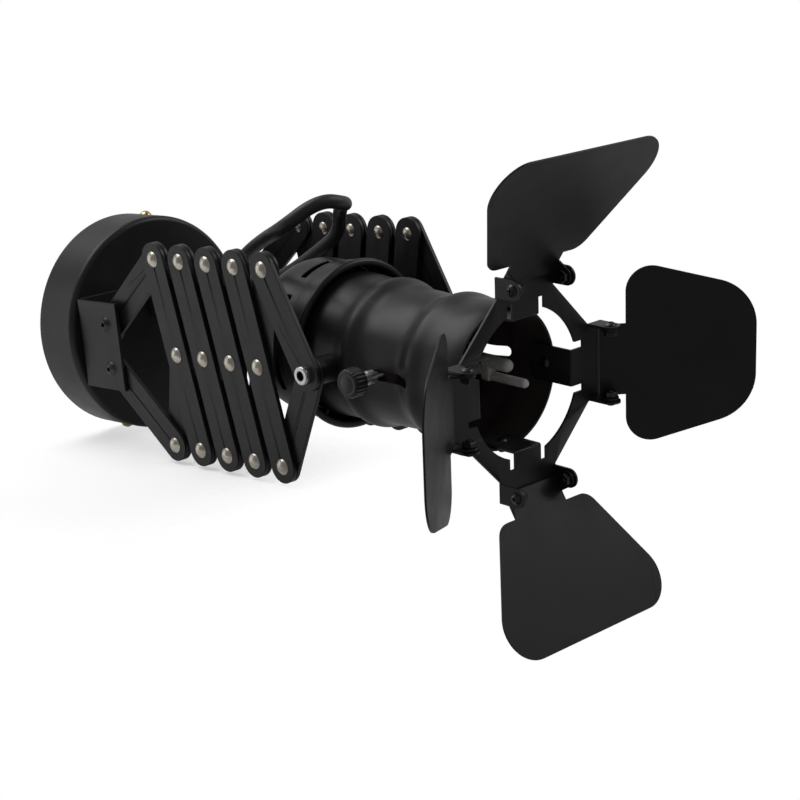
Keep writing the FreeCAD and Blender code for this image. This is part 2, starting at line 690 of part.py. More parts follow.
def head_gland():
    """Gland in the cap's back that the flex goes into."""
    bush = gland(-CAP_WALL - 5, 0)
    bush.rotate(ORIGIN, Z_AXIS, 180)
    bush.translate(V(CAP_BACK_X, 0, 0))
    return bush


# ---------------------------------------------------------------- lamp carrier on the focus slide


def lamp_carrier():
    """Disc in the barrel with a threaded lug behind the near slot and a guide peg in the far one."""
    back, front = FOCUS_X - 6, FOCUS_X - 6 + CARRIER_T
    disc = rod(CARRIER_R, V(back, 0, 0), V(front, 0, 0))
    for k in range(6):
        hole = rod(4.0, V(back - 1, 0, 22), V(front + 1, 0, 22))
        hole.rotate(ORIGIN, X_AXIS, 60 * k + 30)
        disc = disc.cut(hole)
    lugs = []
    for side in SIDES.values():
        lug = block((front, 25.0, -4), (FOCUS_X + 4, 30.5, 4))
        lugs.append(mirrored(lug, side))
    peg = rod(2.2, V(FOCUS_X, 30.5, 0), V(FOCUS_X, 35.0, 0))
    carrier = disc.fuse(lugs + [peg])
    bore = rod(2.0 + RUNNING_GAP, V(FOCUS_X, -24, 0), V(FOCUS_X, -32, 0))
    carrier = carrier.cut(bore).removeSplitter()
    for z in (-HOLDER_SCREW_Z, HOLDER_SCREW_Z):
        carrier = carrier.cut(rod(M3_R, V(back - 1, 0, z), V(front + 1, 0, z)))
    return carrier


def lampholder():
    """Off-white holder: round base, bent stem, block, thin side sleeve and two round-ended fingers."""
    back = FOCUS_X - 6 + CARRIER_T
    front = back + HOLDER_T
    base = rod(HOLDER_R, V(back, 0, 0), V(front, 0, 0))
    stem = rod(2.4, V(front - 1, 11, -3.5), V(62, 13.0, -3.5))
    bridge = block((60, 10.5, -8.2), (66, 16.5, 4.2))
    edges = [e for e in bridge.Edges if e.Length > 5.5]
    pieces = [stem, bridge.makeFillet(1.6, edges)]
    sleeve = rod(1.1, V(front - 1, 8.5, 1.5), V(62, 12.5, 1.5))
    pieces.append(sleeve)
    for z, radius, tip in ((1.1, 3.2, 75.0), (-5.7, 2.3, 86.0)):
        pieces.append(rod(radius, V(61, 13.5, z), V(tip, 13.5, z)))
        pieces.append(Part.makeSphere(radius, V(tip, 13.5, z)))
    holder = base.fuse(pieces).removeSplitter()
    for z in (-HOLDER_SCREW_Z, HOLDER_SCREW_Z):
        holder = holder.cut(rod(M3_R, V(back - 1, 0, z), V(front + 1, 0, z)))
    return holder


def holder_screws():
    """Two screws through the disc into the holder's base, with nuts behind the disc."""
    screws = []
    for z in (-HOLDER_SCREW_Z, HOLDER_SCREW_Z):
        back, front = V(FOCUS_X - 6, 0, z), V(FOCUS_X - 6 + CARRIER_T + HOLDER_T, 0, z)
        head = dome(front, X_AXIS, 2.8, 1.8)
        nut = hexagon(5.5, back - V(2.4, 0, 0), X_AXIS, 2.4)
        screws.append(rod(M3_R, back, front).fuse([head, nut]).removeSplitter())
    return Part.makeCompound(screws)


def thumb_screw():
    """Thumb screw through the near slot: threaded shank, collar and ribbed knob."""
    shank = rod(2.0, V(FOCUS_X, -25.5, 0), V(FOCUS_X, -46, 0))
    collar = rod(3.4, V(FOCUS_X, -37.2, 0), V(FOCUS_X, -46, 0))
    knob = rod(KNOB_R, V(FOCUS_X, -45.5, 0), V(FOCUS_X, -54.5, 0))
    rims = [e for e in knob.Edges if e.Closed]
    knob = knob.makeFillet(1.6, rims)
    for k in range(KNOB_RIBS):
        groove = rod(0.45, V(FOCUS_X, -44, KNOB_R + 0.15), V(FOCUS_X, -56, KNOB_R + 0.15))
        groove.rotate(V(FOCUS_X, 0, 0), Y_AXIS, 360 / KNOB_RIBS * k)
        knob = knob.cut(groove)
    return shank.fuse([collar, knob]).removeSplitter()


# ---------------------------------------------------------------- barn door


def frame_ear():
    """Rounded ear that stands forward from the frame's hinge tab, at the top hinge's +Y end."""
    y0, y1 = FRAME_EAR_HALF - EAR_T, FRAME_EAR_HALF
    back = FRAME_X - FRAME_T / 2
    ear = block((back, y0, HINGE_RADIUS - EAR_R), (HINGE_X, y1, HINGE_RADIUS + EAR_R))
    ear = ear.fuse(rod(EAR_R, V(HINGE_X, y0, HINGE_RADIUS), V(HINGE_X, y1, HINGE_RADIUS)))
    return ear.cut(rod(M3_R, V(HINGE_X, y0 - 1, HINGE_RADIUS), V(HINGE_X, y1 + 1, HINGE_RADIUS)))


def barn_frame():
    """Eight-sided plate with a round opening, four hinge tabs with ears and four tongues."""
    h, c = FRAME_HALF, FRAME_CUT
    octagon = [(c, h), (h, c), (h, -c), (c, -h), (-c, -h), (-h, -c), (-h, c), (-c, h)]
    back, front = FRAME_X - FRAME_T / 2, FRAME_X + FRAME_T / 2
    wire = Part.makePolygon([V(back, y, z) for y, z in octagon + octagon[:1]])
    plate = Part.Face(wire).extrude(V(FRAME_T, 0, 0))
    plate = plate.cut(rod(FRAME_OPENING_R, V(back - 1, 0, 0), V(front + 1, 0, 0)))
    for k in range(4):
        half = FRAME_EAR_HALF
        tab = block((back, -half, h - 1), (front, half, HINGE_TAB_END))
        ear = frame_ear()
        quarter = [tab, ear, ear.mirror(ORIGIN, Y_AXIS), tongue()]
        for piece in quarter:
            piece.rotate(ORIGIN, X_AXIS, 90 * k)
        plate = plate.fuse(quarter)
        for side in (-1, 1):
            y = side * (TONGUE_HALF + NOTCH_WIDTH / 2)
            low = (back - 1, y - NOTCH_WIDTH / 2, 30.0)
            notch = block(low, (front + 1, y + NOTCH_WIDTH / 2, NOTCH_R))
            notch.rotate(ORIGIN, X_AXIS, 90 * k)
            plate = plate.cut(notch)
    return plate.removeSplitter()


def tongue():
    """Tongue at the top, bent back from the plate into the mouth, with its screw hole."""
    back, front = FRAME_X - FRAME_T / 2, FRAME_X + FRAME_T / 2
    low_z = TONGUE_FACE - FRAME_T
    lying = block((TONGUE_END_X, -TONGUE_HALF, low_z), (front, TONGUE_HALF, TONGUE_FACE))
    ends = [e for e in lying.Edges if abs(e.CenterOfMass.x - TONGUE_END_X) < 0.01 and e.Length < 2]
    lying = lying.makeFillet(3.0, ends)
    standing = block((back, -TONGUE_HALF, low_z), (front, TONGUE_HALF, FRAME_OPENING_R + 2))
    bent = lying.fuse(standing).removeSplitter()
    outside = [
        e
        for e in bent.Edges
        if abs(e.CenterOfMass.x - front) < 0.01 and abs(e.CenterOfMass.z - low_z) < 0.01
    ]
    bent = bent.makeFillet(FRAME_T, outside)
    return bent.cut(rod(M3_R, V(TONGUE_SCREW_X, 0, low_z - 1), V(TONGUE_SCREW_X, 0, TONGUE_FACE + 1)))


def barn_frame_screws():
    """Four screws through the tongues into the barrel, heads inside."""
    screws = []
    for k in range(4):
        low_z = TONGUE_FACE - FRAME_T
        shank = rod(M3_R, V(TONGUE_SCREW_X, 0, low_z), V(TONGUE_SCREW_X, 0, BARREL_BODY_R + 0.6))
        head = dome(V(TONGUE_SCREW_X, 0, low_z), Z_AXIS * -1, 2.8, 1.6)
        collar = rod(2.2, V(TONGUE_SCREW_X, 0, TONGUE_FACE), V(TONGUE_SCREW_X, 0, MOUTH_R - BARREL_WALL))
        screw = shank.fuse([head, collar]).removeSplitter()
        screw.rotate(ORIGIN, X_AXIS, 90 * k)
        screws.append(screw)
    return Part.makeCompound(screws)


def hinge_screws():
    """Eight screws that the leaves turn on: head outside the ears, lock nut inside."""
    screws = []
    for k in range(4):
        for side in SIDES.values():
            start = V(HINGE_X, LEAF_NECK_HALF - EAR_T - 3.4, HINGE_RADIUS)
            face = V(HINGE_X, FRAME_EAR_HALF, HINGE_RADIUS)
            shank = rod(M3_R, start, face)
            head = dome(face, Y_AXIS, 3.0, 1.9)
            slot_low = (HINGE_X - 4, face.y + 1.2, HINGE_RADIUS - 0.4)
            slot = block(slot_low, (HINGE_X + 4, face.y + 4, HINGE_RADIUS + 0.4))
            nut = hexagon(5.5, V(HINGE_X, LEAF_NECK_HALF - EAR_T - 2.7, HINGE_RADIUS), Y_AXIS, 2.4)
            screw = mirrored(shank.fuse([head, nut]).cut(slot).removeSplitter(), side)
            screw.rotate(ORIGIN, X_AXIS, 90 * k)
            screws.append(screw)
    return Part.makeCompound(screws)


def leaf(name):
    """Leaf on its hinge: neck with two ears, then a blade with rounded corners."""
    turn, opening, shape = LEAVES[name]
    blade = rounded_plate(
        [
            (BLADE_SHIFT - shape["inner_half"], LEAF_START, shape["inner_r"]),
            (BLADE_SHIFT - shape["outer_half"], LEAF_END, shape["outer_r"]),
            (BLADE_SHIFT + shape["outer_half"], LEAF_END, shape["outer_r"]),
            (BLADE_SHIFT + shape["inner_half"], LEAF_START, shape["inner_r"]),
        ],
        LEAF_T,
    )
    neck = block((-LEAF_NECK_HALF, LEAF_NECK_START, 0), (LEAF_NECK_HALF, LEAF_START + 2, LEAF_T))
    plate = blade.fuse(neck)
    for side in (-1, 1):
        x0 = min(side * LEAF_NECK_HALF, side * (LEAF_NECK_HALF - EAR_T))
        x1 = x0 + EAR_T
        ear = block((x0, LEAF_NECK_START, 0), (x1, LEAF_EAR_R, LEAF_OFFSET))
        ear = ear.fuse(rod(LEAF_EAR_R, V(x0, 0, LEAF_OFFSET), V(x1, 0, LEAF_OFFSET)))
        hole = rod(M3_R + RUNNING_GAP, V(x0 - 1, 0, LEAF_OFFSET), V(x1 + 1, 0, LEAF_OFFSET))
        plate = plate.fuse(ear).cut(hole)
    plate = plate.removeSplitter()
    upright = FreeCAD.Matrix(0, 0, 1, HINGE_X - LEAF_OFFSET, 1, 0, 0, 0, 0, 1, 0, HINGE_RADIUS)
    plate.transformShape(upright)
    plate.rotate(V(HINGE_X, 0, HINGE_RADIUS), Y_AXIS, opening)
    plate.rotate(ORIGIN, X_AXIS, turn)
    return plate


# ---------------------------------------------------------------- flex


def flex_points():
    """The route's corner points, ending along the head gland's axis at its nose."""
    nose_x = CAP_BACK_X - GLAND_COLLAR_T - GLAND_NOSE_LENGTH
    lead = Part.makeCompound([Part.Vertex(nose_x - FLEX_LEAD, 0, 0), Part.Vertex(nose_x, 0, 0)])
    return [V(*p) for p in FLEX_ROUTE] + [v.Point for v in in_head(lead).Vertexes]


def flex():
    """Round cable whose straight runs are joined by tangent arcs."""
    points = flex_points()
    edges = []
    here = points[0]
    for before, corner, after in zip(points, points[1:], points[2:]):
        run_in, run_out = corner - before, after - corner
        half_turn = run_in.getAngle(run_out) / 2
        cut = 0.45 * min(run_in.Length, run_out.Length)
        radius = cut / math.tan(half_turn)
        run_in.normalize()
        run_out.normalize()
        start, end = corner - run_in * cut, corner + run_out * cut
        bisector = run_out - run_in
        bisector.normalize()
        middle = corner + bisector * (radius / math.cos(half_turn) - radius)
        edges.append(Part.LineSegment(here, start).toShape())
        edges.append(Part.Arc(start, middle, end).toShape())
        print("flex corner: radius %.1f mm, turn %.0f degrees" % (radius, math.degrees(2 * half_turn)))
        here = end
    edges.append(Part.LineSegment(here, points[-1]).toShape())
    length = sum(e.Length for e in edges)
    section = Part.Wire(Part.makeCircle(FLEX_R, points[0], points[1] - points[0]))
    tube = Part.Wire(edges).makePipeShell([section], True, False)
    expected = math.pi * FLEX_R**2 * length
    print("flex: length %.1f mm, volume %.0f of %.0f mm3" % (length, tube.Volume, expected))
    print("flex: last points", ["(%.2f, %.2f, %.2f)" % tuple(p) for p in points[-2:]])
    return tube


def build():
    """Every node by name."""
    nodes = {
        "wall_plate": wall_plate(),
        "wall_plate_tabs": wall_plate_tabs(),
        "canopy_cover": canopy_cover(),
        "canopy_side_screws": canopy_side_screws(),
        "terminal_block": terminal_block(),
        "terminal_screws": terminal_screws(),
        "canopy_gland": canopy_gland(),
        "arm_bracket": arm_bracket(),
        "bracket_fixings": bracket_fixings(),
        "bracket_pivot_screws": bracket_pivot_screws(),
        "bracket_pivot_nuts": bracket_pivot_nuts(),
        "rivets_base": rivets([bottom_rivet(1)]),
        "rivets_head": rivets([top_rivet(SECTIONS + 1)]),
        "pivot_bolts": pivot_bolts(),
        "pivot_washers": pivot_washers(),
        "flex": flex(),
    }
    for make in (base_links_upper, base_links_lower, head_links_upper, head_links_lower):
        nodes[make.__name__] = Part.makeCompound([make(side) for side in SIDES.values()])
    for name, side in SIDES.items():
        for i in range(1, SECTIONS + 1):
            nodes["outer_link_%d_%s" % (i, name)] = outer_link(i, side)
            nodes["inner_link_%d_%s" % (i, name)] = inner_link(i, side)
    for i in range(1, SECTIONS + 1):
        nodes["rivets_%d" % i] = rivets([top_rivet(i), bottom_rivet(i + 1)])
        nodes["middle_rivets_%d" % i] = rivets([middle_rivet(i)], FACE_GAP)
    head = {
        "barrel": barrel(),
        "rear_cap": rear_cap(),
        "pivot_bosses": pivot_bosses(),
        "head_gland": head_gland(),
        "lamp_carrier": lamp_carrier(),
        "lampholder": lampholder(),
        "holder_screws": holder_screws(),
        "cap_screws": cap_screws(),
        "thumb_screw": thumb_screw(),
        "barn_frame": barn_frame(),
        "barn_frame_screws": barn_frame_screws(),
        "hinge_screws": hinge_screws(),
    }
    for name in LEAVES:
        head["leaf_" + name] = leaf(name)
    for name, shape in head.items():
        nodes[name] = in_head(shape)
    return nodes


os.makedirs("parts", exist_ok=True)
for node, solid in build().items():
    solid.exportStep("parts/%s.step" % node)
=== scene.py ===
"""Looks of the wall spotlight: camera, lights, materials, the flex and the pieces in place of plain CAD nodes.

Places are in the row frame, in metres. Turned parts are drawn in millimetres and scaled when placed.
"""
import json
import math

import bmesh
import bpy
from mathutils import Matrix, Vector

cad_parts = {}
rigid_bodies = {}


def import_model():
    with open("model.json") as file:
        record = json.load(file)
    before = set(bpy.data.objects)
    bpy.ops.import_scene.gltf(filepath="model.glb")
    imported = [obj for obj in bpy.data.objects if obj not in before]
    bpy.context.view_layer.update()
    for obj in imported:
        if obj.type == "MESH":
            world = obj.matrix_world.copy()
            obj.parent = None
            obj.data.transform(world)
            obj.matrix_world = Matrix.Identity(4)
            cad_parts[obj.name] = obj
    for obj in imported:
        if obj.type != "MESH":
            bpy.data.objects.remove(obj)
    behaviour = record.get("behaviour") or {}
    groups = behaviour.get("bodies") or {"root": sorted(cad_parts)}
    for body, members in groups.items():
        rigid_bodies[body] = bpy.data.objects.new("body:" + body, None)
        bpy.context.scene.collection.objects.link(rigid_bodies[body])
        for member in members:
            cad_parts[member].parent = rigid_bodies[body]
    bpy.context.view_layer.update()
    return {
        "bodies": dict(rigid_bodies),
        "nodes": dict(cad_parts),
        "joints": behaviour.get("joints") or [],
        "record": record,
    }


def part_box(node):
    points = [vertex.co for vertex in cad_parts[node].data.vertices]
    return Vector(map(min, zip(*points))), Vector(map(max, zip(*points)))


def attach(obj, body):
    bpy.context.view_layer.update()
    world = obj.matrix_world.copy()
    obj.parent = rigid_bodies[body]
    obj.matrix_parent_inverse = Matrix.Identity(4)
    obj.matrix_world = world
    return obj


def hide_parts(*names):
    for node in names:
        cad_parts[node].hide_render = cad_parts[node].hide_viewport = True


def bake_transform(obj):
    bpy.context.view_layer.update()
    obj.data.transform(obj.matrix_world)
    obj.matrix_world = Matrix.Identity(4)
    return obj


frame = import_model()
MM = 0.001
JOINTS = {j["name"]: j for j in frame["joints"]}
SIDES = {"near": -1, "far": 1}


# ---------------------------------------------------------------- camera, light and floor

CAMERA_TARGET = Vector((0.28415, -0.05807, -0.00326))
CAMERA_AZIMUTH = math.radians(43.03)
CAMERA_ELEVATION = math.radians(13.71)
CAMERA_ROLL = math.radians(-5.40)
CAMERA_DISTANCE = 0.89477
CAMERA_LENS = 88.61


def add_camera():
    """Camera to the right of the lamp and a little above it, rolled slightly."""
    back = Vector((
        math.cos(CAMERA_AZIMUTH) * math.cos(CAMERA_ELEVATION),
        -math.sin(CAMERA_AZIMUTH) * math.cos(CAMERA_ELEVATION),
        math.sin(CAMERA_ELEVATION),
    ))
    level_right = Vector((0, 0, 1)).cross(back).normalized()
    level_up = back.cross(level_right)
    right = level_right * math.cos(CAMERA_ROLL) + level_up * math.sin(CAMERA_ROLL)
    up = back.cross(right)
    data = bpy.data.cameras.new("camera")
    data.lens = CAMERA_LENS
    data.sensor_width = 36
    data.clip_start = 0.01
    camera = bpy.data.objects.new("camera", data)
    bpy.context.scene.collection.objects.link(camera)
    turn = Matrix((right, up, back)).transposed().to_4x4()
    camera.matrix_world = Matrix.Translation(CAMERA_TARGET + back * CAMERA_DISTANCE) @ turn
    bpy.context.scene.camera = camera


def add_softbox(name, place, aim, size, watts):
    """Square area light at place, facing aim."""
    data = bpy.data.lights.new(name, "AREA")
    data.shape = "SQUARE"
    data.size = size
    data.energy = watts
    light = bpy.data.objects.new(name, data)
    light.location = place
    light.rotation_euler = (Vector(aim) - Vector(place)).to_track_quat("-Z", "Y").to_euler()
    bpy.context.scene.collection.objects.link(light)


def add_lights():
    """White surroundings for the eye, greyer ones for lighting, and soft boxes."""
    world = bpy.data.worlds.new("studio")
    bpy.context.scene.world = world
    world.use_nodes = True
    nodes, links = world.node_tree.nodes, world.node_tree.links
    nodes.clear()
    out = nodes.new("ShaderNodeOutputWorld")
    path = nodes.new("ShaderNodeLightPath")
    seen = nodes.new("ShaderNodeBackground")
    lit = nodes.new("ShaderNodeBackground")
    mix = nodes.new("ShaderNodeMixShader")
    seen.inputs["Color"].default_value = (1, 1, 1, 1)
    seen.inputs["Strength"].default_value = 1.0
    lit.inputs["Color"].default_value = (1, 1, 1, 1)
    coords = nodes.new("ShaderNodeTexCoord")
    towards = nodes.new("ShaderNodeVectorMath")
    towards.operation = "DOT_PRODUCT"
    towards.inputs[1].default_value = BACKDROP_SIDE
    links.new(coords.outputs["Generated"], towards.inputs[0])
    strength = spread(nodes, links, towards.outputs["Value"], WORLD_DIM, WORLD_BRIGHT, -0.1, 0.85)
    links.new(strength, lit.inputs["Strength"])
    links.new(path.outputs["Is Camera Ray"], mix.inputs[0])
    links.new(lit.outputs[0], mix.inputs[1])
    links.new(seen.outputs[0], mix.inputs[2])
    links.new(mix.outputs[0], out.inputs[0])
    centre = (0.2, 0, 0)
    add_softbox("box_above", (-0.35, -0.25, 1.1), centre, 1.0, 7)
    add_softbox("box_left", (-1.0, -0.9, 0.15), centre, 1.0, 1.7)
    add_softbox("box_right", (0.9, 1.2, 0.9), centre, 0.9, 5)
    bpy.context.scene.view_settings.view_transform = "Standard"


WORLD_DIM = 0.165
WORLD_BRIGHT = 0.47
BACKDROP_SIDE = (-0.71, 0.663, -0.237)
FLOOR_GLOW = 0.46
FLOOR_END_X = 0.215
FLOOR_HALF = 0.45


def add_floor():
    """Pale table top under the canopy and the arms. The head hangs out past its edge."""
    z = cad_floor_z()
    mesh = bpy.data.meshes.new("floor")
    corners = [(-FLOOR_HALF, -FLOOR_HALF, z), (FLOOR_END_X, -FLOOR_HALF, z)]
    corners += [(FLOOR_END_X, FLOOR_HALF, z), (-FLOOR_HALF, FLOOR_HALF, z)]
    mesh.from_pydata(corners, [], [(0, 1, 2, 3)])
    floor = bpy.data.objects.new("floor", mesh)
    bpy.context.scene.collection.objects.link(floor)
    mesh.materials.append(floor_material())


def cad_floor_z():
    """Height of the table: the lowest point of the canopy."""
    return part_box("canopy_cover")[0].z - 0.0002


# ---------------------------------------------------------------- materials


def new_material(name):
    """Empty node material with a Principled shader: (material, nodes, links, shader)."""
    material = bpy.data.materials.new(name)
    material.use_nodes = True
    nodes, links = material.node_tree.nodes, material.node_tree.links
    nodes.clear()
    out = nodes.new("ShaderNodeOutputMaterial")
    shader = nodes.new("ShaderNodeBsdfPrincipled")
    links.new(shader.outputs[0], out.inputs[0])
    return material, nodes, links, shader


def floor_material():
    """Matt white that fades away under the head and past the near arm."""
    material, nodes, links, shader = new_material("floor_white")
    shader.inputs["Base Color"].default_value = (0.95, 0.95, 0.95, 1)
    shader.inputs["Roughness"].default_value = 0.9
    shader.inputs["Specular IOR Level"].default_value = 0.2
    coords = nodes.new("ShaderNodeTexCoord")
    split = nodes.new("ShaderNodeSeparateXYZ")
    both = nodes.new("ShaderNodeMath")
    both.operation = "MULTIPLY"
    links.new(coords.outputs["Object"], split.inputs[0])
    links.new(spread(nodes, links, split.outputs["X"], 1.0, 0.0, 0.14, 0.205), both.inputs[0])
    links.new(spread(nodes, links, split.outputs["Y"], 1.0, 0.0, -0.05, 0.03), both.inputs[1])
    links.new(both.outputs[0], shader.inputs["Alpha"])
    path = nodes.new("ShaderNodeLightPath")
    glow = spread(nodes, links, path.outputs["Is Camera Ray"], 0.0, FLOOR_GLOW, 0.0, 1.0)
    shader.inputs["Emission Color"].default_value = (1, 1, 1, 1)
    links.new(glow, shader.inputs["Emission Strength"])
    return material


def noise(nodes, links, scale, detail=4.0, roughness=0.55, stretch=(1, 1, 1)):
    """Noise in the object's own space; stretch squeezes it along an axis."""
    coords = nodes.new("ShaderNodeTexCoord")
    mapping = nodes.new("ShaderNodeMapping")
    mapping.inputs["Scale"].default_value = stretch
    texture = nodes.new("ShaderNodeTexNoise")
    texture.inputs["Scale"].default_value = scale
    texture.inputs["Detail"].default_value = detail
    texture.inputs["Roughness"].default_value = roughness
    links.new(coords.outputs["Object"], mapping.inputs["Vector"])
    links.new(mapping.outputs["Vector"], texture.inputs["Vector"])
    return texture.outputs["Fac"]


def spread(nodes, links, value, low, high, start=0.3, end=0.7):
    """Maps a 0-1 value to a range."""
    node = nodes.new("ShaderNodeMapRange")
    node.inputs["From Min"].default_value = start
    node.inputs["From Max"].default_value = end
    node.inputs["To Min"].default_value = low
    node.inputs["To Max"].default_value = high
    links.new(value, node.inputs["Value"])
    return node.outputs["Result"]


def blend_colors(nodes, links, value, low, high):
    """Mixes two colours by a value."""
    node = nodes.new("ShaderNodeMix")
    node.data_type = "RGBA"
    node.inputs["A"].default_value = (*low, 1)
    node.inputs["B"].default_value = (*high, 1)
    links.new(value, node.inputs["Factor"])
    return node.outputs["Result"]


def add_bump(nodes, links, shader, heights, distance, strength=1.0, before=None):
    """Bumps the surface by a height value; before is an earlier bump's normal."""
    bump = nodes.new("ShaderNodeBump")
    bump.inputs["Distance"].default_value = distance
    bump.inputs["Strength"].default_value = strength
    links.new(heights, bump.inputs["Height"])
    if before is not None:
        links.new(before, bump.inputs["Normal"])
    links.new(bump.outputs["Normal"], shader.inputs["Normal"])
    return bump.outputs["Normal"]


def powder_coat(name, dark, pale, roughness, bump_mm, grain=900.0):
    """Satin paint: fine orange-peel grain, cloudy tone and slightly uneven gloss."""
    material, nodes, links, shader = new_material(name)
    cloud = noise(nodes, links, 28.0, detail=5.0)
    speck = noise(nodes, links, grain * 2.4, detail=2.0)
    tone = nodes.new("ShaderNodeMath")
    tone.operation = "MULTIPLY_ADD"
    tone.inputs[1].default_value = 0.45
    links.new(speck, tone.inputs[0])
    links.new(spread(nodes, links, cloud, 0.0, 0.55), tone.inputs[2])
    links.new(blend_colors(nodes, links, tone.outputs[0], dark, pale), shader.inputs["Base Color"])
    uneven = noise(nodes, links, 60.0, detail=6.0)
    gloss = spread(nodes, links, uneven, roughness - 0.05, roughness + 0.06)
    links.new(gloss, shader.inputs["Roughness"])
    grain_height = noise(nodes, links, grain, detail=3.0, roughness=0.5)
    add_bump(nodes, links, shader, grain_height, bump_mm * MM, 0.6)
    shader.inputs["Specular IOR Level"].default_value = 0.42
    return material


def plated(name, dark, pale, roughness, scratch=0.5):
    """Bright metal with faint brushed scratches and slight tarnish."""
    material, nodes, links, shader = new_material(name)
    shader.inputs["Metallic"].default_value = 1.0
    tarnish = spread(nodes, links, noise(nodes, links, 260.0, detail=6.0), 0.0, 1.0)
    links.new(blend_colors(nodes, links, tarnish, pale, dark), shader.inputs["Base Color"])
    lines = noise(nodes, links, 700.0, detail=4.0, stretch=(1, 1, 7))
    links.new(spread(nodes, links, lines, roughness - 0.05, roughness + 0.10), shader.inputs["Roughness"])
    add_bump(nodes, links, shader, lines, 0.01 * MM, scratch)
    return material


def moulded(name, dark, pale, roughness, grain=1600.0, bump_mm=0.02):
    """Moulded plastic or rubber: fine texture and slightly uneven tone."""
    material, nodes, links, shader = new_material(name)
    cloud = spread(nodes, links, noise(nodes, links, 120.0, detail=5.0), 0.0, 1.0)
    links.new(blend_colors(nodes, links, cloud, dark, pale), shader.inputs["Base Color"])
    gloss = spread(nodes, links, noise(nodes, links, 300.0), roughness - 0.06, roughness + 0.06)
    links.new(gloss, shader.inputs["Roughness"])
    add_bump(nodes, links, shader, noise(nodes, links, grain, detail=3.0), bump_mm * MM, 0.5)
    return material


def ceramic(name):
    """Off-white glazed ceramic, faintly browned by heat, with a soft gloss."""
    material, nodes, links, shader = new_material(name)
    stain = spread(nodes, links, noise(nodes, links, 140.0, detail=6.0), 0.0, 0.8, 0.45, 0.8)
    color = blend_colors(nodes, links, stain, (0.82, 0.81, 0.80), (0.60, 0.52, 0.44))
    links.new(color, shader.inputs["Base Color"])
    gloss = spread(nodes, links, noise(nodes, links, 400.0), 0.22, 0.38)
    links.new(gloss, shader.inputs["Roughness"])
    add_bump(nodes, links, shader, noise(nodes, links, 900.0), 0.02 * MM, 0.4)
    shader.inputs["Subsurface Weight"].default_value = 0.15
    shader.inputs["Subsurface Scale"].default_value = 0.002
    return material


SATIN = ((0.010, 0.010, 0.011), (0.019, 0.019, 0.0205))
WARM_SATIN = ((0.042, 0.029, 0.029), (0.066, 0.047, 0.045))
BLACK_STEEL = ((0.045, 0.045, 0.048), (0.10, 0.10, 0.105))
NICKEL = ((0.56, 0.49, 0.40), (0.78, 0.74, 0.66))
BRIGHT_STEEL = ((0.62, 0.61, 0.60), (0.86, 0.86, 0.85))
ZINC = ((0.48, 0.49, 0.50), (0.66, 0.66, 0.66))
BRASS = ((0.60, 0.40, 0.16), (0.85, 0.65, 0.34))
BLACK_NYLON = ((0.010, 0.010, 0.011), (0.020, 0.020, 0.022))
GLAND_NYLON = ((0.012, 0.012, 0.013), (0.024, 0.024, 0.026))
SHEATH = ((0.016, 0.016, 0.019), (0.030, 0.031, 0.037))
WHITE_PLASTIC = ((0.70, 0.69, 0.66), (0.82, 0.81, 0.78))

MATERIALS = {
    "paint": powder_coat("satin_black_paint", *SATIN, 0.38, 0.03),
    "inside": powder_coat("inside_paint", *WARM_SATIN, 0.46, 0.03),
    # Blackened steel for the black screws; the same material is also painted shade in the pivot bolts'
    # sockets.
    "black_screws_and_socket_shade": plated("blackened_steel_and_socket_shade", *BLACK_STEEL, 0.32),
    "nickel": plated("polished_nickel", *NICKEL, 0.27),
    "bright_steel": plated("bright_steel", *BRIGHT_STEEL, 0.20),
    "zinc": plated("zinc_plate", *ZINC, 0.34),
    "brass": plated("brass", *BRASS, 0.24),
    "knob": moulded("knob_nylon", *BLACK_NYLON, 0.42),
    "gland": moulded("gland_nylon", *GLAND_NYLON, 0.45),
    "sheath": moulded("cable_sheath", *SHEATH, 0.44, 2200.0, 0.015),
    "white_plastic": moulded("white_plastic", *WHITE_PLASTIC, 0.35),
    "ceramic": ceramic("lampholder_ceramic"),
}


def paint_cad_nodes():
    """Every carried-over CAD node gets the procedural material of its record slot."""
    by_slot = {
        "black_paint": "paint",
        "black_screws": "black_screws_and_socket_shade",
        "nickel": "nickel",
        "bright_steel": "bright_steel",
        "zinc": "zinc",
        "brass": "brass",
        "black_plastic": "gland",
        "white_plastic": "white_plastic",
        "ceramic": "ceramic",
        "cable_sheath": "sheath",
    }
    slots = {s["node"]: s["material_slot"] for s in frame["record"]["subparts"]}
    for node, obj in frame["nodes"].items():
        material = MATERIALS[by_slot[slots[node]]]
        if not obj.material_slots:
            obj.data.materials.append(material)
        for slot in obj.material_slots:
            slot.material = material


# ---------------------------------------------------------------- the flex

FLEX_DIAMETER = 0.0072
FLEX_SIDES = 24
LOOP_TOP = Vector((0.199, -0.010, 0.077))
FLEX_ROUTE = [
    (0.0440, 0.0000, 0.0120),
    (0.0600, 0.0000, 0.0120),
    (0.0840, -0.0040, 0.0200),
    (0.1100, -0.0100, 0.0340),
    (0.1345, -0.0155, 0.0490),
    (0.1595, -0.0230, 0.0590),
    (0.1840, -0.0345, 0.0660),
    (0.1980, -0.0190, 0.0790),
    (0.1975, 0.0005, 0.0740),
    (0.1775, 0.0125, 0.0705),
    (0.1680, 0.0190, 0.0545),
    (0.1525, 0.0185, 0.0450),
    (0.1275, 0.0175, 0.0315),
    (0.1070, 0.0170, 0.0240),
    (0.0825, 0.0145, 0.0280),
    (0.0620, 0.0135, 0.0125),
    (0.0625, 0.0075, -0.0120),
    (0.0860, -0.0005, -0.0190),
    (0.1035, -0.0030, -0.0015),
    (0.11802, 0.0000, 0.00870),
    (0.13566, 0.0000, 0.00732),
]


